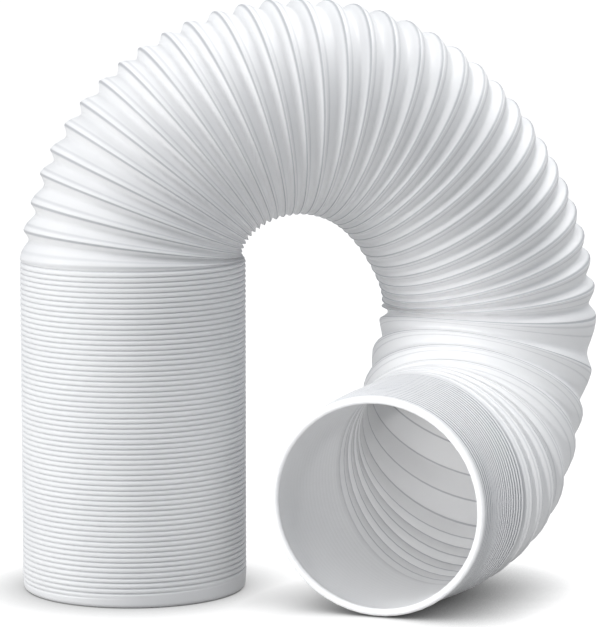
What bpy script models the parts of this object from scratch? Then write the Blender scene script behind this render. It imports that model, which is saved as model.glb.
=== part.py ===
"""Air conditioner exhaust hose of white polypropylene, one piece.

The near third stands as a fully compressed stack. The hose then stretches into an arch, comes down in a
leg, bends toward the front and lies on the floor with its open end.
The wall is one closed profile of waves, turned round its axis and bent along the hose's centre line.
All sizes are in metres, +Z is up, and the origin is on the floor under the middle of the bounding box.
"""

import math

import bmesh
import bpy
import numpy as np
from mathutils import Vector

# Hose section
CREST_RADIUS = 0.0750
FOLDED_WALL = 0.0065
ARCH_NARROWING = 0.0027
LEG_NARROWING = 0.0005
WAVE_DEPTH = 0.0052
FOLD_DEPTH = 0.0014
WALL_THICKNESS = 0.0010
FACETS_AROUND = 24

# Lengths along the centre line, and turns of the spiral
STACK_HEIGHT = 0.2200
COMPRESSED_END_LENGTH = 0.0753
RISE_TURNS = 11
RISE_PITCH = 0.01064
ARCH_TURNS = 22
ARCH_PITCH = 0.01195
LEG_TURNS = 4
LEG_PITCH = 0.0278
CLOSING_TURNS = 4
VALLEY_PLACE_IN_TURN = 0.64
NARROWING_LENGTH = 0.0228
WIDENING_LENGTH = 0.0640
FOLD_SPACING = 0.0147
BORE_RING_SPACING = 0.0180

# Rolled lip at both ends
FOOT_INSET = 0.0010
MOUTH_INSET = 0.0030
LIP_ROUNDING = 0.0018
LIP_LENGTH = 0.0070

# Centre line: the stack's axis, the points that the free run passes, and the open end
STACK_AXIS = (-0.1106, 0.0)
FREE_RUN = [
    (-0.0941, 0.0020, 0.2718),
    (-0.0461, 0.0090, 0.3106),
    (0.0080, 0.0190, 0.3193),
    (0.0624, 0.0330, 0.3000),
    (0.1039, 0.0470, 0.2551),
    (0.1283, 0.0587, 0.1809),
    (0.1240, 0.0518, 0.1453),
    (0.1150, 0.0316, 0.1120),
    (0.1031, 0.0000, 0.0860),
]
MOUTH_CENTRE = (0.0483, -0.1025, 0.0724)
MOUTH_YAW = math.radians(19.6)
MOUTH_DIP = math.radians(2.2)
STRAIGHT_END_LENGTH = 0.0180
GUIDE_STEP = 0.0040
SPLINE_STEPS = 40

HOSE_WHITE = (0.86, 0.87, 0.88, 1.0)
HOSE_ROUGHNESS = 0.42


def clear_scene():
    for obj in list(bpy.data.objects):
        bpy.data.objects.remove(obj, do_unlink=True)


def new_collection(name):
    collection = bpy.data.collections.new(name)
    bpy.context.scene.collection.children.link(collection)
    return collection


def polypropylene():
    material = bpy.data.materials.new("white_polypropylene")
    material.use_nodes = True
    shader = material.node_tree.nodes["Principled BSDF"]
    shader.inputs["Base Color"].default_value = HOSE_WHITE
    shader.inputs["Roughness"].default_value = HOSE_ROUGHNESS
    shader.inputs["Metallic"].default_value = 0.0
    return material


def mouth_axis():
    """Unit vector along which the open end looks out."""
    level = math.cos(MOUTH_DIP)
    return np.array([
        -math.sin(MOUTH_YAW) * level,
        -math.cos(MOUTH_YAW) * level,
        -math.sin(MOUTH_DIP),
    ])


def smooth_run(points, start_direction, end_direction):
    """Cubic spline through the points, with smooth curvature and both end directions given."""
    points = np.array(points, float)
    chords = np.linalg.norm(np.diff(points, axis=0), axis=1)
    count = len(points)
    matrix = np.eye(count)
    slopes = np.zeros((count, 3))
    slopes[0] = start_direction
    slopes[-1] = end_direction
    for i in range(1, count - 1):
        before, after = chords[i - 1], chords[i]
        matrix[i, i - 1:i + 2] = (after, 2 * (before + after), before)
        slopes[i] = 3 * (after / before * (points[i] - points[i - 1]) + before / after * (points[i + 1] - points[i]))
    slopes = np.linalg.solve(matrix, slopes)
    run = []
    for i, chord in enumerate(chords):
        for u in np.arange(SPLINE_STEPS) / SPLINE_STEPS:
            run.append(
                (2 * u**3 - 3 * u**2 + 1) * points[i]
                + (u**3 - 2 * u**2 + u) * chord * slopes[i]
                + (3 * u**2 - 2 * u**3) * points[i + 1]
                + (u**3 - u**2) * chord * slopes[i + 1]
            )
    run.append(points[-1])
    return np.array(run)


def centre_line():
    """Points of the hose's centre line, from the stack's foot to the open end."""
    foot = np.array([*STACK_AXIS, 0.0])
    stack_top = np.array([*STACK_AXIS, STACK_HEIGHT])
    mouth = np.array(MOUTH_CENTRE)
    end_start = mouth - mouth_axis() * STRAIGHT_END_LENGTH
    free = smooth_run([stack_top, *FREE_RUN, end_start], (0.0, 0.0, 1.0), mouth_axis())
    return np.vstack([foot, free, mouth])


def evenly_spaced(line, step):
    lengths = np.concatenate([[0.0], np.cumsum(np.linalg.norm(np.diff(line, axis=0), axis=1))])
    stations = np.linspace(0.0, lengths[-1], round(lengths[-1] / step) + 1)
    return np.column_stack([np.interp(stations, lengths, line[:, axis]) for axis in range(3)]), lengths[-1]


def make_guide(line, collection):
    curve = bpy.data.curves.new("centre_line", "CURVE")
    curve.dimensions = "3D"
    curve.twist_mode = "MINIMUM"
    spline = curve.splines.new("POLY")
    spline.points.add(len(line) - 1)
    for point, place in zip(spline.points, line):
        point.co = (*place, 1.0)
    guide = bpy.data.objects.new("centre_line", curve)
    guide.hide_render = True
    guide.display_type = "WIRE"
    collection.objects.link(guide)
    return guide


def lip(at, inward, inset):
    """Outer side of a rolled lip as radius and place, from its flat rim at one end of the hose inward."""
    radius = CREST_RADIUS - inset
    return [
        (radius - LIP_ROUNDING, at),
        (radius, at + inward * LIP_ROUNDING),
        (radius, at + inward * LIP_LENGTH),
    ]


def folds(start, end, start_radius, end_radius):
    """Outer side of a compressed stretch: shallow folds, a groove and a crest each, at even steps."""
    count = round((end - start) / FOLD_SPACING)
    step = (end - start) / count
    side = []
    for fold in range(count):
        for share, depth in ((0.5, FOLD_DEPTH), (1.0, 0.0)):
            place = start + (fold + share) * step
            side.append((np.interp(place, (start, end), (start_radius, end_radius)) - depth, place))
    return side


def wall_profile(length):
    """Closed section of the wall: down the outer side from the open end, and back up the bore."""
    free_start = STACK_HEIGHT
    free_end = length - COMPRESSED_END_LENGTH
    rise_end = free_start + RISE_TURNS * RISE_PITCH
    arch_end = rise_end + ARCH_TURNS * ARCH_PITCH
    stations = (
        free_start,
        free_start + NARROWING_LENGTH,
        arch_end - WIDENING_LENGTH / 2,
        arch_end + WIDENING_LENGTH / 2,
        free_end,
    )
    arch_crest = CREST_RADIUS - ARCH_NARROWING
    leg_crest = CREST_RADIUS - LEG_NARROWING
    crests = (CREST_RADIUS, arch_crest, arch_crest, leg_crest, CREST_RADIUS)

    rise_turns = np.linspace(free_start, rise_end, RISE_TURNS + 1)
    arch_turns = np.linspace(rise_end, arch_end, ARCH_TURNS + 1)
    leg_end = arch_end + LEG_TURNS * LEG_PITCH
    leg_turns = np.linspace(arch_end, leg_end, LEG_TURNS + 1)
    closing_turns = np.linspace(leg_end, free_end, CLOSING_TURNS + 1)
    turn_ends = [*rise_turns, *arch_turns[1:], *leg_turns[1:], *closing_turns[1:]]
    waves = []
    for start, crest_place in zip(turn_ends, turn_ends[1:]):
        valley_place = start + VALLEY_PLACE_IN_TURN * (crest_place - start)
        waves.append((np.interp(valley_place, stations, crests) - WAVE_DEPTH, valley_place))
        waves.append((np.interp(crest_place, stations, crests), crest_place))

    stack_start = LIP_LENGTH + LIP_ROUNDING
    outer = lip(0.0, 1.0, FOOT_INSET)
    outer.append((CREST_RADIUS, stack_start))
    outer += folds(stack_start, free_start, CREST_RADIUS, CREST_RADIUS)
    outer += waves
    outer += folds(free_end, length - LIP_LENGTH, CREST_RADIUS, CREST_RADIUS - MOUTH_INSET)[:-1]
    outer += reversed(lip(length, -1.0, MOUTH_INSET))

    bore_radius = CREST_RADIUS - FOLDED_WALL
    bore_rings = round(COMPRESSED_END_LENGTH / BORE_RING_SPACING)
    bore_places = np.linspace(free_end + FOLDED_WALL, length, bore_rings + 1)
    bore_radii = np.linspace(bore_radius, bore_radius - MOUTH_INSET + LIP_ROUNDING, bore_rings + 1)
    inner = [(bore_radius, 0.0), (bore_radius, free_start)]
    inner += [(radius - WALL_THICKNESS, place) for radius, place in waves]
    inner += zip(bore_radii, bore_places)
    return list(reversed(outer)) + inner


def make_hose(profile, guide, collection, material):
    mesh = bpy.data.meshes.new("hose")
    sketch = bmesh.new()
    corners = [sketch.verts.new((radius, 0.0, place)) for radius, place in profile]
    for corner, following in zip(corners, corners[1:] + corners[:1]):
        sketch.edges.new((corner, following))
    sketch.to_mesh(mesh)
    sketch.free()
    mesh.materials.append(material)
    hose = bpy.data.objects.new("hose", mesh)
    collection.objects.link(hose)

    turned = hose.modifiers.new("turned", "SCREW")
    turned.axis = "Z"
    turned.angle = 2 * math.pi
    turned.steps = FACETS_AROUND
    turned.render_steps = FACETS_AROUND
    turned.use_merge_vertices = True
    turned.merge_threshold = 0.00001
    turned.use_smooth_shade = True

    bent = hose.modifiers.new("bent", "CURVE")
    bent.object = guide
    bent.deform_axis = "POS_Z"
    return hose


def stand_on_origin(hose, guide):
    """Move the hose and its guide so that the origin is on the floor under the middle of the hose."""
    bpy.context.view_layer.update()
    evaluated = hose.evaluated_get(bpy.context.evaluated_depsgraph_get())
    corners = np.array([vertex.co for vertex in evaluated.data.vertices])
    low, high = corners.min(axis=0), corners.max(axis=0)
    offset = Vector((-(low[0] + high[0]) / 2, -(low[1] + high[1]) / 2, -low[2]))
    hose.location = offset
    guide.location = offset


def main():
    clear_scene()
    parts = new_collection("air_conditioner_exhaust_hose")
    helpers = new_collection("helpers")
    line, length = evenly_spaced(centre_line(), GUIDE_STEP)
    guide = make_guide(line, helpers)
    hose = make_hose(wall_profile(length), guide, parts, polypropylene())
    stand_on_origin(hose, guide)


main()
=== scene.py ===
"""Looks of the air conditioner exhaust hose: its wound wall, its finish, the light and the camera.

The hose is one wound wall of white polypropylene. It is modelled straight and upright in turns of the
winding, shaped to its real section, given its two rolled rims, and then bent along its centre line.
All sizes are in metres. The centre line has a frame of its own, and the bent hose is moved from it into the
box of the solid model.
"""

import math

import bpy
import numpy as np
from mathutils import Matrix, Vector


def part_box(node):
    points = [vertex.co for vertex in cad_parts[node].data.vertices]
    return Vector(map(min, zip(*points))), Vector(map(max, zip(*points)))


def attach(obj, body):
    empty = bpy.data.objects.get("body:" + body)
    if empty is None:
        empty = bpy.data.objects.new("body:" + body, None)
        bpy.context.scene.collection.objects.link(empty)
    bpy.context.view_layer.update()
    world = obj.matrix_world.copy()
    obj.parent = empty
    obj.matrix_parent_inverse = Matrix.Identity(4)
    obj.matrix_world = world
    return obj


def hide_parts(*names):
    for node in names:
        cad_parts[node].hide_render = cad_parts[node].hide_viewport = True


TAU = 2 * math.pi

# Section of the hose
CREST_RADIUS = 0.0748
ARCH_NARROWING = 0.0031
LEG_NARROWING = 0.0005
MOUTH_NARROWING = 0.0030
WAVE_DEPTH = 0.0052
LEG_WAVE_DEPTH = 0.0034
FOLD_DEPTH = 0.0015
INNER_GROOVE_DEPTH = 0.0004
FILM_THICKNESS = 0.0005
BORE_RADIUS = 0.0685
BEHIND_BEAD_RADIUS = 0.0678
MOUTH_BORE_RADIUS = 0.0668
MOUTH_BEAD_LENGTH = 0.0060
BORE_FOLD_DEPTH = 0.00006

# Lengths along the centre line and turns of the winding
STACK_HEIGHT = 0.2200
END_LENGTH = 0.0753
STACK_TURNS = 65
RISE_TURNS = 11
RISE_PITCH = 0.01064
ARCH_TURNS = 22
ARCH_PITCH = 0.01195
LEG_TURNS = 4
LEG_PITCH = 0.0278
CLOSING_TURNS = 4
END_TURNS = 22
NARROWING_LENGTH = 0.0228
WIDENING_LENGTH = 0.0640
PITCH_UNEVENNESS = 0.05
UNEVENNESS_SEED = 7

# Turns over which the winding opens
OPENING_TURNS = 1.6

# How much the bend takes off the waves on the arch's inner side, and the cosine from which it does
PRESSED_SHARE = 0.6
PRESSED_FROM = 0.1

# One turn of the winding, as shares of its pitch: crest at nought, a long fall to the valley, a steep rise
VALLEY = 0.64
OUTER_LINES = (0.0, 0.05, 0.12, 0.25, 0.42, 0.56, VALLEY, 0.71, 0.84, 0.94)
INNER_LINES = (0.0, 0.07, 0.5, 0.93)
OPENED_SHARES = (*OUTER_LINES, 1.0)
OPENED_DROPS = (0.0, 0.0, 0.07, 0.26, 0.62, 0.93, 1.0, 0.93, 0.52, 0.11, 0.0)
FOLDED_SHARES = (0.0, 0.07, 0.21, 0.35, 0.5)
FOLDED_DROPS = (1.0, 0.7, 0.18, 0.04, 0.0)
GROOVE_SHARES = (0.0, 0.07, 0.3, 0.7, 0.93, 1.0)
GROOVE_DROPS = (1.0, 0.25, 0.0, 0.0, 0.25, 1.0)

# Rolled rims, and the smooth bands above the foot and behind the mouth
RIM_LENGTH = 0.0024
RIM_STEPS = (0.2, 0.4, 0.6, 0.8)
FOOT_BAND_LOW = 0.0047
FOOT_BAND_HIGH = 0.0121
FOOT_BAND_FADE = 0.0040
FOOT_BAND_INSET = 0.0008
MOUTH_BAND = 0.0030
MOUTH_BAND_FADE = 0.0030

# The raw spiral sheets, one unit up for each turn: their radii, the steps in a turn, the turns wound past
# each end and cut away again, the first point's size before it is merged, and how near points merge
OUTER_SHEET_RADIUS = 2.0
INNER_SHEET_RADIUS = 1.0
STEPS_AROUND = 54
SPARE_TURNS = 2
SEED_SIZE = 0.1
MERGE_REACH = 0.0001

# How near to a rim's height the points of its edge are
RING_REACH = 0.0002

# Centre line: the stack's axis, the points that the free run passes, and the open end
STACK_AXIS = (-0.1106, 0.0)
FREE_RUN = [
    (-0.0941, 0.0020, 0.2718),
    (-0.0461, 0.0090, 0.3106),
    (0.0080, 0.0190, 0.3193),
    (0.0624, 0.0330, 0.3000),
    (0.1039, 0.0470, 0.2551),
    (0.1283, 0.0587, 0.1809),
    (0.1240, 0.0518, 0.1453),
    (0.1150, 0.0316, 0.1120),
    (0.1031, 0.0000, 0.0860),
]
MOUTH_CENTRE = (0.0483, -0.1025, 0.0724)
MOUTH_YAW = math.radians(19.6)
MOUTH_DIP = math.radians(2.2)
STRAIGHT_END_LENGTH = 0.0180
GUIDE_STEP = 0.0020
SPLINE_STEPS = 40

# Polypropylene: its colours and the greys of its painted shade, how light bends and spreads in it, its faint
# clouds and its roughness
BODY_DARKER = "f1f1f2"
BODY_LIGHTER = "f9f9f9"
# Grey of the seam lines: painted crease shade
SEAM_SHADE_COLOUR = "c2c3c6"
# Grey of the painted shade in the fold gaps and in the inner grooves
CREVICE_SHADE_COLOUR = "83868e"
REFRACTION = 1.49
SPREAD_SHARE = 0.25
SPREAD_REACH = 0.0025
CLOUDS_PER_METRE = 25.0
CLOUD_DETAIL = 3.0
CLOUD_RANGE = (0.3, 0.7)
ROUGHNESS_RANGE = (0.36, 0.5)

# Seam lines, shallow grooves whose grey tint is painted crease shade: millimetres past the crest and
# strength of each, how far from its middle in millimetres the tint is full and where it ends, and its depth
SEAM_SHADE_LINES = ((-0.3, 1.0), (2.4, 0.4), (7.6, 0.4))
SEAM_SHADE_CORE = 0.1
SEAM_SHADE_REACH = 0.9
SEAM_LINE_RELIEF = 0.0002

# Painted shade in the gaps between folded turns, in shares of the pitch: reach and strength from stack to
# mouth
GAP_SHADE_CORE = 0.04
GAP_SHADE_REACH = (0.2, 0.44)
GAP_SHADE_STRENGTH = (0.22, 0.85)

# Painted shade in the grooves that show from inside, in half millimetres from the groove's middle
GROOVE_SHADE_CORE = 0.3
GROOVE_SHADE_REACH = 1.3
GROOVE_SHADE_STRENGTH = 0.5

# Floor paper: its glow as the hose gets it and as the camera sees it, and the painted contact shadow that
# darkens its glow near the hose
PAPER_SIZE = 40.0
PAPER_COLOUR = "707070"
PAPER_ROUGHNESS = 0.9
GLOW_ON_HOSE = 0.37
GLOW_SEEN = 0.98
CONTACT_SHADOW_REACH = 0.05
CONTACT_SHADOW_POWER = 1.15
CONTACT_SHADOW_SAMPLES = 8

# Light: the sky, soft area lamps as name, place, aim, side and power, and a lamp that looks into the mouth
SKY_COLOUR = (0.89, 0.94, 1.0, 1.0)
SKY_STRENGTH = 0.39
AREA_LAMPS = (
    ("key", (-2.3, -0.8, 0.6), (-0.1, 0.0, 0.15), 1.2, 24.0),
    ("top", (0.9, 0.7, 2.1), (0.0, 0.0, 0.2), 1.8, 34.0),
    ("front", (-0.8, -1.2, 2.2), (0.1, 0.0, 0.3), 1.6, 22.0),
)
MOUTH_LAMP_PLACE = (-0.75, -2.2, 0.25)
MOUTH_LAMP_AIM = (0.052, -0.105, 0.076)
MOUTH_LAMP_POWER = 360.0
MOUTH_LAMP_ANGLE = math.radians(4.0)
MOUTH_LAMP_BLEND = 0.8
MOUTH_LAMP_RADIUS = 0.12

# Camera, over the floor and in the centre line's frame
CAMERA_PLACE = (0.0, -2.2350, 0.4777)
CAMERA_TILT = math.radians(82.5)
CAMERA_LENS = 195.2
CAMERA_SENSOR = 36.0


def linear(hex_colour):
    """Linear RGBA of an sRGB colour such as "f2f3f4"."""
    shares = [int(hex_colour[i:i + 2], 16) / 255 for i in (0, 2, 4)]
    return (*[s / 12.92 if s <= 0.04045 else ((s + 0.055) / 1.055) ** 2.4 for s in shares], 1.0)


def smooth_share(value):
    """Nought to one with soft ends."""
    value = np.clip(value, 0.0, 1.0)
    return value * value * (3 - 2 * value)


def read_numbers(items, name, kind=float, width=1):
    """One number of each item, or a row of numbers of each where the width is more than one."""
    numbers = np.empty(len(items) * width, kind)
    items.foreach_get(name, numbers)
    return numbers if width == 1 else numbers.reshape(-1, width)


def read_points(piece):
    return read_numbers(piece.data.vertices, "co", width=3)


def write_points(piece, points):
    piece.data.vertices.foreach_set("co", points.ravel())
    piece.data.update()


def pick(piece):
    """Make the piece the only one selected, and active."""
    bpy.ops.object.select_all(action="DESELECT")
    piece.select_set(True)
    bpy.context.view_layer.objects.active = piece


def apply_modifiers(piece):
    pick(piece)
    for modifier in list(piece.modifiers):
        bpy.ops.object.modifier_apply(modifier=modifier.name)


# Centre line


def mouth_axis():
    """Unit vector along which the open end looks out."""
    level = math.cos(MOUTH_DIP)
    return np.array([
        -math.sin(MOUTH_YAW) * level,
        -math.cos(MOUTH_YAW) * level,
        -math.sin(MOUTH_DIP),
    ])


def smooth_run(points, start_direction, end_direction):
    """Cubic spline through the points, with smooth curvature and both end directions given."""
    points = np.array(points, float)
    chords = np.linalg.norm(np.diff(points, axis=0), axis=1)
    count = len(points)
    matrix = np.eye(count)
    slopes = np.zeros((count, 3))
    slopes[0] = start_direction
    slopes[-1] = end_direction
    for i in range(1, count - 1):
        before, after = chords[i - 1], chords[i]
        matrix[i, i - 1:i + 2] = (after, 2 * (before + after), before)
        slopes[i] = 3 * (
            after / before * (points[i] - points[i - 1])
            + before / after * (points[i + 1] - points[i])
        )
    slopes = np.linalg.solve(matrix, slopes)
    run = []
    for i, chord in enumerate(chords):
        for u in np.arange(SPLINE_STEPS) / SPLINE_STEPS:
            run.append(
                (2 * u**3 - 3 * u**2 + 1) * points[i]
                + (u**3 - 2 * u**2 + u) * chord * slopes[i]
                + (3 * u**2 - 2 * u**3) * points[i + 1]
                + (u**3 - u**2) * chord * slopes[i + 1]
            )
    run.append(points[-1])
    return np.array(run)


def centre_line():
    """Evenly spaced points of the centre line, from the stack's foot to the open end, and its length."""
    foot = np.array([*STACK_AXIS, 0.0])
    stack_top = np.array([*STACK_AXIS, STACK_HEIGHT])
    mouth = np.array(MOUTH_CENTRE)
    end_start = mouth - mouth_axis() * STRAIGHT_END_LENGTH
    free = smooth_run([stack_top, *FREE_RUN, end_start], (0.0, 0.0, 1.0), mouth_axis())
    line = np.vstack([foot, free, mouth])
    lengths = np.concatenate([[0.0], np.cumsum(np.linalg.norm(np.diff(line, axis=0), axis=1))])
    stations = np.linspace(0.0, lengths[-1], round(lengths[-1] / GUIDE_STEP) + 1)
    return np.column_stack([np.interp(stations, lengths, line[:, axis]) for axis in range(3)]), lengths[-1]


def turn_places():
    """Places along the centre line where each turn ends, a little uneven, as the folds open by hand."""
    marks = np.cumsum([0, STACK_TURNS, RISE_TURNS, ARCH_TURNS, LEG_TURNS, CLOSING_TURNS, END_TURNS])
    places = [0.0, STACK_HEIGHT, RISE_END, ARCH_END, LEG_END, FREE_END, LENGTH]
    even = np.interp(np.arange(ALL_TURNS + 1), marks, places)
    chance = np.random.default_rng(UNEVENNESS_SEED)
    shifts = chance.uniform(-1.0, 1.0, ALL_TURNS + 1) * np.gradient(even) * PITCH_UNEVENNESS
    shifts[marks] = 0.0
    return even + shifts


LINE, LENGTH = centre_line()
FREE_END = LENGTH - END_LENGTH
RISE_END = STACK_HEIGHT + RISE_TURNS * RISE_PITCH
ARCH_END = RISE_END + ARCH_TURNS * ARCH_PITCH
LEG_END = ARCH_END + LEG_TURNS * LEG_PITCH
FREE_TURNS = RISE_TURNS + ARCH_TURNS + LEG_TURNS + CLOSING_TURNS
ALL_TURNS = STACK_TURNS + FREE_TURNS + END_TURNS
TURN_MARKS = np.arange(ALL_TURNS + 1)
PLACE_MARKS = turn_places()


# Section of the wall


def stretch_at(turn):
    """How far the winding is pulled open: nought where it is folded flat, one in the arch and the leg."""
    opening = smooth_share((turn - STACK_TURNS + 0.5) / OPENING_TURNS)
    closing = smooth_share((STACK_TURNS + FREE_TURNS + 0.5 - turn) / OPENING_TURNS)
    return opening * closing


def crest_radius_at(place):
    places = (
        0.0,
        FOOT_BAND_HIGH,
        STACK_HEIGHT,
        STACK_HEIGHT + NARROWING_LENGTH,
        ARCH_END - WIDENING_LENGTH / 2,
        ARCH_END + WIDENING_LENGTH / 2,
        FREE_END,
        LENGTH,
    )
    radii = (
        CREST_RADIUS - FOOT_BAND_INSET,
        CREST_RADIUS,
        CREST_RADIUS,
        CREST_RADIUS - ARCH_NARROWING,
        CREST_RADIUS - ARCH_NARROWING,
        CREST_RADIUS - LEG_NARROWING,
        CREST_RADIUS,
        CREST_RADIUS - MOUTH_NARROWING,
    )
    return np.interp(place, places, radii)


def wave_drop(place, phase, stretch):
    """Drop below the crest at a share of the pitch: a lopsided wave if stretched, a soft roll if folded."""
    opened = np.interp(phase % 1.0, OPENED_SHARES, OPENED_DROPS)
    folded = np.interp(np.abs((phase - VALLEY + 0.5) % 1.0 - 0.5), FOLDED_SHARES, FOLDED_DROPS)
    depth = np.interp(place, (ARCH_END - WIDENING_LENGTH / 2, LEG_END), (WAVE_DEPTH, LEG_WAVE_DEPTH))
    return opened * depth * stretch + folded * FOLD_DEPTH * (1 - stretch)


def band_share(place, angle):
    """One where the wall has its waves, fading to nought in the smooth bands by the foot and the mouth."""
    foot_band = (FOOT_BAND_HIGH + FOOT_BAND_LOW) / 2 - (FOOT_BAND_HIGH - FOOT_BAND_LOW) / 2 * np.cos(angle)
    above_foot = smooth_share((place - foot_band) / FOOT_BAND_FADE + 0.5)
    before_mouth = smooth_share((LENGTH - MOUTH_BAND - place) / MOUTH_BAND_FADE)
    return above_foot * before_mouth


def pressed_share(place, angle):
    """One on the inner side of the arch, where the bend presses the folds together, and nought elsewhere."""
    past_stack = smooth_share((place - STACK_HEIGHT) / NARROWING_LENGTH)
    before_leg = smooth_share((ARCH_END - place) / WIDENING_LENGTH)
    inner_side = smooth_share((-np.cos(angle) - PRESSED_FROM) / (1 - PRESSED_FROM))
    return past_stack * before_leg * inner_side


def outer_radius(turn, place, phase, angle):
    drop = wave_drop(place, phase, stretch_at(turn)) * band_share(place, angle)
    return crest_radius_at(place) - drop * (1 - PRESSED_SHARE * pressed_share(place, angle))


def inner_radius(turn, place, phase, angle):
    stretch = stretch_at(turn)
    grooves = np.interp(phase % 1.0, GROOVE_SHARES, GROOVE_DROPS)
    film = crest_radius_at(place) - WAVE_DEPTH - FILM_THICKNESS + grooves * INNER_GROOVE_DEPTH
    bore_places = (0.0, FREE_END, LENGTH - MOUTH_BEAD_LENGTH, LENGTH - RIM_LENGTH)
    bore = np.interp(place, bore_places, (BORE_RADIUS, BORE_RADIUS, BEHIND_BEAD_RADIUS, MOUTH_BORE_RADIUS))
    folds = BORE_FOLD_DEPTH * (1 - np.cos(TAU * phase)) * band_share(place, angle)
    return film * stretch + (bore - folds) * (1 - stretch)


# The wound wall


def draw_turn(name, radius, lines):
    """The lines of one turn as points on an upright line, at a radius from the axis."""
    bpy.ops.object.select_all(action="DESELECT")
    bpy.ops.mesh.primitive_plane_add(size=SEED_SIZE, location=(radius, 0.0, lines[0]))
    turn = bpy.context.object
    turn.name = name
    bpy.ops.object.transform_apply(location=True, rotation=False, scale=False)
    bpy.ops.object.mode_set(mode="EDIT")
    bpy.ops.mesh.select_all(action="SELECT")
    bpy.ops.mesh.merge(type="CENTER")
    for line, following in zip(lines, [*lines[1:], lines[0] + 1]):
        bpy.ops.mesh.extrude_region_move(TRANSFORM_OT_translate={"value": (0.0, 0.0, following - line)})
    bpy.ops.object.mode_set(mode="OBJECT")
    return turn


def wind_wall(name, sheet_radius, lines, radius_at):
    """A spiral sheet, wound with each turn one unit high, cut flat at its ends and given its real shape."""
    wall = draw_turn(name, sheet_radius, lines)
    write_points(wall, read_points(wall) - (0.0, 0.0, SPARE_TURNS))
    stacked = wall.modifiers.new("turns", "ARRAY")
    stacked.use_relative_offset = False
    stacked.use_constant_offset = True
    stacked.constant_offset_displace = (0.0, 0.0, 1.0)
    stacked.count = ALL_TURNS + 2 * SPARE_TURNS
    stacked.use_merge_vertices = True
    stacked.merge_threshold = MERGE_REACH
    wound = wall.modifiers.new("winding", "SCREW")
    wound.axis = "Z"
    wound.angle = TAU
    wound.screw_offset = 1.0
    wound.steps = STEPS_AROUND
    wound.render_steps = STEPS_AROUND
    apply_modifiers(wall)

    low = np.interp(RIM_LENGTH, PLACE_MARKS, TURN_MARKS)
    high = np.interp(LENGTH - RIM_LENGTH, PLACE_MARKS, TURN_MARKS)
    bpy.ops.object.mode_set(mode="EDIT")
    bpy.ops.mesh.select_all(action="SELECT")
    bpy.ops.mesh.remove_doubles(threshold=MERGE_REACH)
    bpy.ops.mesh.bisect(plane_co=(0.0, 0.0, low), plane_no=(0.0, 0.0, 1.0), clear_inner=True)
    bpy.ops.mesh.select_all(action="SELECT")
    bpy.ops.mesh.bisect(plane_co=(0.0, 0.0, high), plane_no=(0.0, 0.0, 1.0), clear_outer=True)
    bpy.ops.object.mode_set(mode="OBJECT")

    points = read_points(wall)
    angle = np.arctan2(points[:, 1], points[:, 0])
    turn = points[:, 2]
    place = np.interp(turn, TURN_MARKS, PLACE_MARKS)
    radius = radius_at(turn, place, turn - angle / TAU, angle)
    write_points(wall, np.column_stack([radius * np.cos(angle), radius * np.sin(angle), place]))
    return wall


def select_edge_ring(piece, height):
    """Select the free edges of a sheet that lie at one height, in edit mode."""
    bpy.ops.mesh.select_mode(type="EDGE")
    bpy.ops.mesh.select_all(action="DESELECT")
    bpy.ops.mesh.select_non_manifold(extend=False)
    bpy.ops.object.mode_set(mode="OBJECT")
    heights = read_points(piece)[:, 2]
    for edge in piece.data.edges:
        at_height = all(abs(heights[corner] - height) < RING_REACH for corner in edge.vertices)
        edge.select = edge.select and at_height
    for vertex in piece.data.vertices:
        vertex.select = False
    for edge in piece.data.edges:
        if edge.select:
            for corner in edge.vertices:
                piece.data.vertices[corner].select = True
    for face in piece.data.polygons:
        face.select = False
    bpy.ops.object.mode_set(mode="EDIT")


def roll_rim(wall, at, outward, outer, inner):
    """Extrude the outer wall's edge over its rim in a half round, to meet the inner wall's edge.

    Returns the height of the last ring.
    """
    edge_height = at - outward * RIM_LENGTH
    middle = (outer + inner) / 2
    half = (outer - inner) / 2
    bpy.ops.object.mode_set(mode="EDIT")
    select_edge_ring(wall, edge_height)
    radius, height = outer, edge_height
    for share in RIM_STEPS:
        angle = share * math.pi
        new_radius = middle + half * math.cos(angle)
        new_height = edge_height + outward * RIM_LENGTH * math.sin(angle)
        bpy.ops.mesh.extrude_region_move(TRANSFORM_OT_translate={"value": (0.0, 0.0, new_height - height)})
        bpy.ops.transform.resize(
            value=(new_radius / radius, new_radius / radius, 1.0), center_override=(0.0, 0.0, new_height)
        )
        radius, height = new_radius, new_height
    bpy.ops.object.mode_set(mode="OBJECT")
    return height


def close_rim(wall, rolled_height, inner_height):
    """Bridge the rolled edge at the first height to the inner wall's edge at the second."""
    bpy.ops.object.mode_set(mode="EDIT")
    select_edge_ring(wall, rolled_height)
    rolled = [edge.index for edge in wall.data.edges if edge.select]
    select_edge_ring(wall, inner_height)
    bpy.ops.object.mode_set(mode="OBJECT")
    for index in rolled:
        wall.data.edges[index].select = True
        for corner in wall.data.edges[index].vertices:
            wall.data.vertices[corner].select = True
    bpy.ops.object.mode_set(mode="EDIT")
    bpy.ops.mesh.bridge_edge_loops()
    bpy.ops.object.mode_set(mode="OBJECT")


def mark_points(mesh, name, values):
    marks = mesh.attributes.new(name, "FLOAT", "POINT")
    marks.data.foreach_set("value", values.astype(np.float32))


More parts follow.
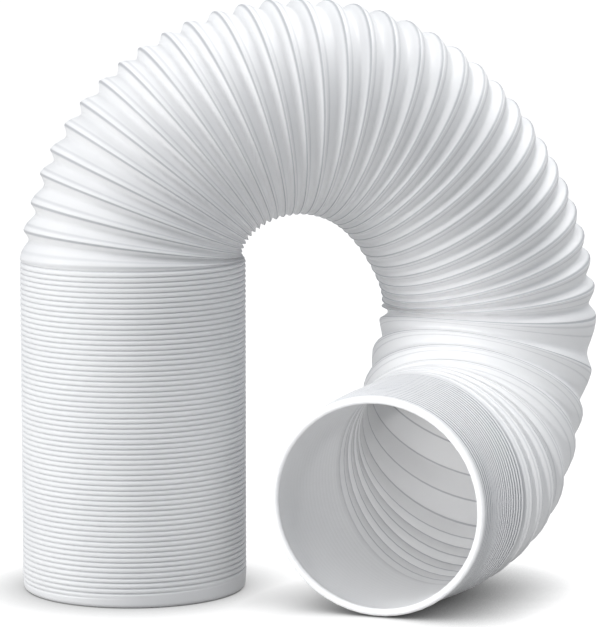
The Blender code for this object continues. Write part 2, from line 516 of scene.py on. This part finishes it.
def mark_winding(hose):
    """Marks on the straight hose that its finish reads.

    A UV map goes once round the hose across, and up by the turns of the winding. Each point also has its
    stretch, its pitch in millimetres, and a mark for the ribbed outside: one there, and nought inside and
    in the smooth bands.
    """
    mesh = hose.data
    points = read_points(hose)
    place = points[:, 2]
    turn = np.interp(place, PLACE_MARKS, TURN_MARKS)
    angle = np.arctan2(points[:, 1], points[:, 0])
    corners = read_numbers(mesh.loops, "vertex_index", int)
    sizes = read_numbers(mesh.polygons, "loop_total", int)
    centres = read_numbers(mesh.polygons, "center", width=3)
    face_angle = np.repeat(np.arctan2(centres[:, 1], centres[:, 0]), sizes)
    corner_angle = face_angle + (angle[corners] - face_angle + math.pi) % TAU - math.pi
    winding = turn[corners] - corner_angle / TAU
    layer = mesh.uv_layers.new(name="winding")
    layer.data.foreach_set("uv", np.column_stack([corner_angle / TAU + 0.5, winding / ALL_TURNS]).ravel())

    phase = turn - angle / TAU
    middle = (outer_radius(turn, place, phase, angle) + inner_radius(turn, place, phase, angle)) / 2
    is_outer = np.hypot(points[:, 0], points[:, 1]) > middle
    mark_points(mesh, "stretch", stretch_at(turn))
    mark_points(mesh, "pitch_mm", np.interp(turn, TURN_MARKS, np.gradient(PLACE_MARKS) * 1000))
    mark_points(mesh, "outside", is_outer * band_share(place, angle))


def bend_along_line(hose):
    """Bend the straight hose along its centre line."""
    curve = bpy.data.curves.new("centre_line", "CURVE")
    curve.dimensions = "3D"
    curve.twist_mode = "MINIMUM"
    spline = curve.splines.new("POLY")
    spline.points.add(len(LINE) - 1)
    for point, place in zip(spline.points, LINE):
        point.co = (*place, 1.0)
    guide = bpy.data.objects.new("centre_line", curve)
    bpy.context.scene.collection.objects.link(guide)
    bent = hose.modifiers.new("bent", "CURVE")
    bent.object = guide
    bent.deform_axis = "POS_Z"
    apply_modifiers(hose)
    bpy.data.objects.remove(guide, do_unlink=True)


def seat_in_box(piece, low, high):
    """Move the piece so that its middle is over the middle of the solid's box, and stand it on the floor.

    Returns the move, which takes the centre line's frame to the solid's frame.
    """
    points = read_points(piece)
    lowest, highest = points.min(axis=0), points.max(axis=0)
    move = np.array([
        (low[0] + high[0] - lowest[0] - highest[0]) / 2,
        (low[1] + high[1] - lowest[1] - highest[1]) / 2,
        low[2] - lowest[2],
    ])
    write_points(piece, points + move)
    return move


def make_hose():
    """The outer and the inner wall, joined by their rims into one closed piece and bent."""
    hose = wind_wall("wound_hose", OUTER_SHEET_RADIUS, OUTER_LINES, outer_radius)
    bore = wind_wall("wound_bore", INNER_SHEET_RADIUS, INNER_LINES, inner_radius)
    pick(hose)
    foot_height = roll_rim(hose, 0.0, -1.0, CREST_RADIUS - FOOT_BAND_INSET, BORE_RADIUS)
    mouth_height = roll_rim(hose, LENGTH, 1.0, CREST_RADIUS - MOUTH_NARROWING, MOUTH_BORE_RADIUS)
    bore.select_set(True)
    bpy.ops.object.join()
    close_rim(hose, foot_height, RIM_LENGTH)
    close_rim(hose, mouth_height, LENGTH - RIM_LENGTH)
    bpy.ops.object.mode_set(mode="EDIT")
    bpy.ops.mesh.select_all(action="SELECT")
    bpy.ops.mesh.normals_make_consistent(inside=False)
    bpy.ops.object.mode_set(mode="OBJECT")
    mark_winding(hose)
    bend_along_line(hose)
    bpy.ops.object.shade_smooth()
    return hose


# Shader nodes


def add_node(tree, kind, settings=None, inputs=None):
    """A node of the tree, with its settings, and its inputs as numbers or as links from other nodes."""
    node = tree.nodes.new(kind)
    for name, value in (settings or {}).items():
        setattr(node, name, value)
    for name, value in (inputs or {}).items():
        if isinstance(value, bpy.types.NodeSocket):
            tree.links.new(value, node.inputs[name])
        else:
            node.inputs[name].default_value = value
    return node


def calculated(tree, operation, first, second=0.0, clamp=False):
    """Result of a calculation with one or two numbers or links."""
    settings = {"operation": operation, "use_clamp": clamp}
    return add_node(tree, "ShaderNodeMath", settings, {0: first, 1: second}).outputs[0]


def ranged(tree, value, start, end, low, high, soft=False):
    """The value's way from start to end, as a number from low to high, with soft ends if asked for."""
    settings = {"interpolation_type": "SMOOTHSTEP" if soft else "LINEAR"}
    inputs = {"Value": value, "From Min": start, "From Max": end, "To Min": low, "To Max": high}
    return add_node(tree, "ShaderNodeMapRange", settings, inputs).outputs[0]


def mixed(tree, share, first, second):
    """The first colour where the share is nought, and the second where it is one."""
    inputs = {"Factor": share, 6: first, 7: second}
    return add_node(tree, "ShaderNodeMix", {"data_type": "RGBA"}, inputs).outputs[2]


def point_mark(tree, name):
    return add_node(tree, "ShaderNodeAttribute", {"attribute_name": name}).outputs["Fac"]


# Materials


def seam_shade_lines(tree, turns, pitch):
    """Strength of the painted crease shade along the seam and the strip's edges: soft lines about a
    millimetre wide, near each crest.
    """
    moved = calculated(tree, "ADD", turns, 0.5)
    share = calculated(tree, "FRACT", moved)
    signed = calculated(tree, "SUBTRACT", share, 0.5)
    past_crest = calculated(tree, "MULTIPLY", signed, pitch)
    lines = 0.0
    for place, strength in SEAM_SHADE_LINES:
        off = calculated(tree, "SUBTRACT", past_crest, place)
        aside = calculated(tree, "ABSOLUTE", off)
        line = ranged(tree, aside, SEAM_SHADE_CORE, SEAM_SHADE_REACH, strength, 0.0, soft=True)
        lines = calculated(tree, "MAXIMUM", lines, line)
    return lines


def fold_gap_shade(tree, turns):
    """Strength of the painted shade in the gaps between folded turns, wider and darker in the lying end than
    in the stack.
    """
    free_run = (STACK_TURNS, STACK_TURNS + FREE_TURNS)
    from_valley = calculated(tree, "SUBTRACT", turns, VALLEY)
    aside = calculated(tree, "PINGPONG", from_valley, 0.5)
    reach = ranged(tree, turns, *free_run, *GAP_SHADE_REACH)
    gap = ranged(tree, aside, GAP_SHADE_CORE, reach, 1.0, 0.0, soft=True)
    strength = ranged(tree, turns, *free_run, *GAP_SHADE_STRENGTH)
    return calculated(tree, "MULTIPLY", gap, strength)


def inner_groove_shade(tree, turns, pitch):
    """Strength of the painted shade in the thin grooves that show from inside, at each crest and half-way
    between two crests.
    """
    twice = calculated(tree, "MULTIPLY", turns, 2.0)
    aside = calculated(tree, "PINGPONG", twice, 0.5)
    half_millimetres = calculated(tree, "MULTIPLY", aside, pitch)
    return ranged(tree, half_millimetres, GROOVE_SHADE_CORE, GROOVE_SHADE_REACH, GROOVE_SHADE_STRENGTH, 0.0, soft=True)


def polypropylene():
    """Extruded polypropylene strip, wound and welded: white, satin and slightly translucent.

    The stretched turns have thin seam lines outside and thin grooves inside, both darkened with painted
    crease shade. The folded turns have painted shade in the gaps between them outside.
    """
    material = bpy.data.materials.new("extruded_white_polypropylene")
    material.use_nodes = True
    tree = material.node_tree
    shader = tree.nodes["Principled BSDF"]
    shader.inputs["IOR"].default_value = REFRACTION
    shader.inputs["Subsurface Weight"].default_value = SPREAD_SHARE
    shader.inputs["Subsurface Radius"].default_value = (1.0, 1.0, 1.0)
    shader.inputs["Subsurface Scale"].default_value = SPREAD_REACH

    winding = add_node(tree, "ShaderNodeUVMap", {"uv_map": "winding"})
    split = add_node(tree, "ShaderNodeSeparateXYZ", inputs={0: winding.outputs["UV"]})
    turns = calculated(tree, "MULTIPLY", split.outputs["Y"], ALL_TURNS)
    stretch = point_mark(tree, "stretch")
    pitch = point_mark(tree, "pitch_mm")
    outside = point_mark(tree, "outside")

    stretched_outside = calculated(tree, "MULTIPLY", stretch, outside)
    # Painted crease shade along the seam lines, on the stretched outside
    seam_shade_mask = calculated(tree, "MULTIPLY", seam_shade_lines(tree, turns, pitch), stretched_outside)
    folded = calculated(tree, "SUBTRACT", 1.0, stretch)
    folded_outside = calculated(tree, "MULTIPLY", folded, outside)
    # Painted shade in the gaps between folded turns, on the folded outside
    gaps = calculated(tree, "MULTIPLY", fold_gap_shade(tree, turns), folded_outside)
    stretched_inside = calculated(tree, "SUBTRACT", stretch, outside)
    # Painted shade in the thin inner grooves, on the stretched inside
    grooves = calculated(tree, "MULTIPLY", inner_groove_shade(tree, turns, pitch), stretched_inside, clamp=True)
    # The painted shade of the fold gaps and of the inner grooves together
    dark = calculated(tree, "MAXIMUM", gaps, grooves)

    # Slightly uneven stock, in colour and in gloss
    place = add_node(tree, "ShaderNodeTexCoord").outputs["Object"]
    noise = {"Vector": place, "Scale": CLOUDS_PER_METRE, "Detail": CLOUD_DETAIL}
    clouds = add_node(tree, "ShaderNodeTexNoise", inputs=noise).outputs["Fac"]
    body = mixed(tree, clouds, linear(BODY_DARKER), linear(BODY_LIGHTER))
    # Body colour greyed along the seam lines with painted crease shade
    welded = mixed(tree, seam_shade_mask, body, linear(SEAM_SHADE_COLOUR))
    # Painted shade greys the colour in the fold gaps and the inner grooves
    shaded = mixed(tree, dark, welded, linear(CREVICE_SHADE_COLOUR))
    tree.links.new(shaded, shader.inputs["Base Color"])
    roughness = ranged(tree, clouds, *CLOUD_RANGE, *ROUGHNESS_RANGE)
    tree.links.new(roughness, shader.inputs["Roughness"])

    # The seam lines lie a fifth of a millimetre deep, a real relief under their painted crease shade
    depth = {"Height": seam_shade_mask, "Distance": SEAM_LINE_RELIEF, "Strength": 1.0}
    relief = add_node(tree, "ShaderNodeBump", {"invert": True}, depth)
    tree.links.new(relief.outputs[0], shader.inputs["Normal"])
    return material


def floor_paper():
    """Matt grey paper over a light table.

    The camera sees it glow pure white, and less so close to the hose, where a painted contact shadow darkens
    the glow. It lights the hose from below at less than half of that.
    """
    material = bpy.data.materials.new("seamless_white_paper")
    material.use_nodes = True
    tree = material.node_tree
    shader = tree.nodes["Principled BSDF"]
    shader.inputs["Base Color"].default_value = linear(PAPER_COLOUR)
    shader.inputs["Roughness"].default_value = PAPER_ROUGHNESS
    shader.inputs["Emission Color"].default_value = (1.0, 1.0, 1.0, 1.0)
    settings = {"samples": CONTACT_SHADOW_SAMPLES}
    # Painted contact shadow: the paper's glow is darkened where the hose is near
    painted_shadow_openness = add_node(tree, "ShaderNodeAmbientOcclusion", settings, {"Distance": CONTACT_SHADOW_REACH})
    lit = calculated(tree, "POWER", painted_shadow_openness.outputs["AO"], CONTACT_SHADOW_POWER)
    is_camera = add_node(tree, "ShaderNodeLightPath").outputs["Is Camera Ray"]
    glow = ranged(tree, is_camera, 0.0, 1.0, GLOW_ON_HOSE, GLOW_SEEN)
    tree.links.new(calculated(tree, "MULTIPLY", lit, glow), shader.inputs["Emission Strength"])
    return material


# Stage, light and camera


def add_floor():
    bpy.ops.object.select_all(action="DESELECT")
    bpy.ops.mesh.primitive_plane_add(size=PAPER_SIZE, location=(0.0, 0.0, 0.0))
    floor = bpy.context.object
    floor.name = "floor"
    floor.data.materials.append(floor_paper())


def add_lamp(kind, name, place, aim, power):
    """A lamp of a kind at a place, turned toward the point that it is aimed at."""
    bpy.ops.object.light_add(type=kind, location=place)
    lamp = bpy.context.object
    lamp.name = name
    lamp.data.energy = power
    direction = np.array(aim) - np.array(place)
    level = math.hypot(direction[0], direction[1])
    heading = math.atan2(direction[1], direction[0]) - math.pi / 2
    lamp.rotation_euler = (math.atan2(level, -direction[2]), 0.0, heading)
    return lamp


def add_light():
    world = bpy.data.worlds.new("studio")
    bpy.context.scene.world = world
    world.use_nodes = True
    background = world.node_tree.nodes["Background"]
    background.inputs["Color"].default_value = SKY_COLOUR
    background.inputs["Strength"].default_value = SKY_STRENGTH
    for name, place, aim, side, power in AREA_LAMPS:
        lamp = add_lamp("AREA", name, place, aim, power)
        lamp.data.size = side
    mouth = add_lamp("SPOT", "mouth", MOUTH_LAMP_PLACE, MOUTH_LAMP_AIM, MOUTH_LAMP_POWER)
    mouth.data.spot_size = MOUTH_LAMP_ANGLE
    mouth.data.spot_blend = MOUTH_LAMP_BLEND
    mouth.data.shadow_soft_size = MOUTH_LAMP_RADIUS
    bpy.context.scene.view_settings.view_transform = "Standard"


def add_camera(move):
    place = np.array(CAMERA_PLACE) + (move[0], move[1], 0.0)
    bpy.ops.object.camera_add(location=place, rotation=(CAMERA_TILT, 0.0, 0.0))
    camera = bpy.context.object
    camera.name = "camera"
    camera.data.lens = CAMERA_LENS
    camera.data.sensor_width = CAMERA_SENSOR
    bpy.context.scene.camera = camera


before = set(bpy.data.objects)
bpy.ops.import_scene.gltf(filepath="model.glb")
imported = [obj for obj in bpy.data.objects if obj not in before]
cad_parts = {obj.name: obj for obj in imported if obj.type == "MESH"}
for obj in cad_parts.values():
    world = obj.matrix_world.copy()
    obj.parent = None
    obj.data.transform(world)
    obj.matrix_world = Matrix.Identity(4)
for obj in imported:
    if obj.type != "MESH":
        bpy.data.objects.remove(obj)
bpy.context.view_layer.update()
solid_low, solid_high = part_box("hose")

hose = make_hose()
move = seat_in_box(hose, solid_low, solid_high)
hose.data.materials.append(polypropylene())
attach(hose, "root")
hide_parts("hose")
add_floor()
add_light()
add_camera(move)
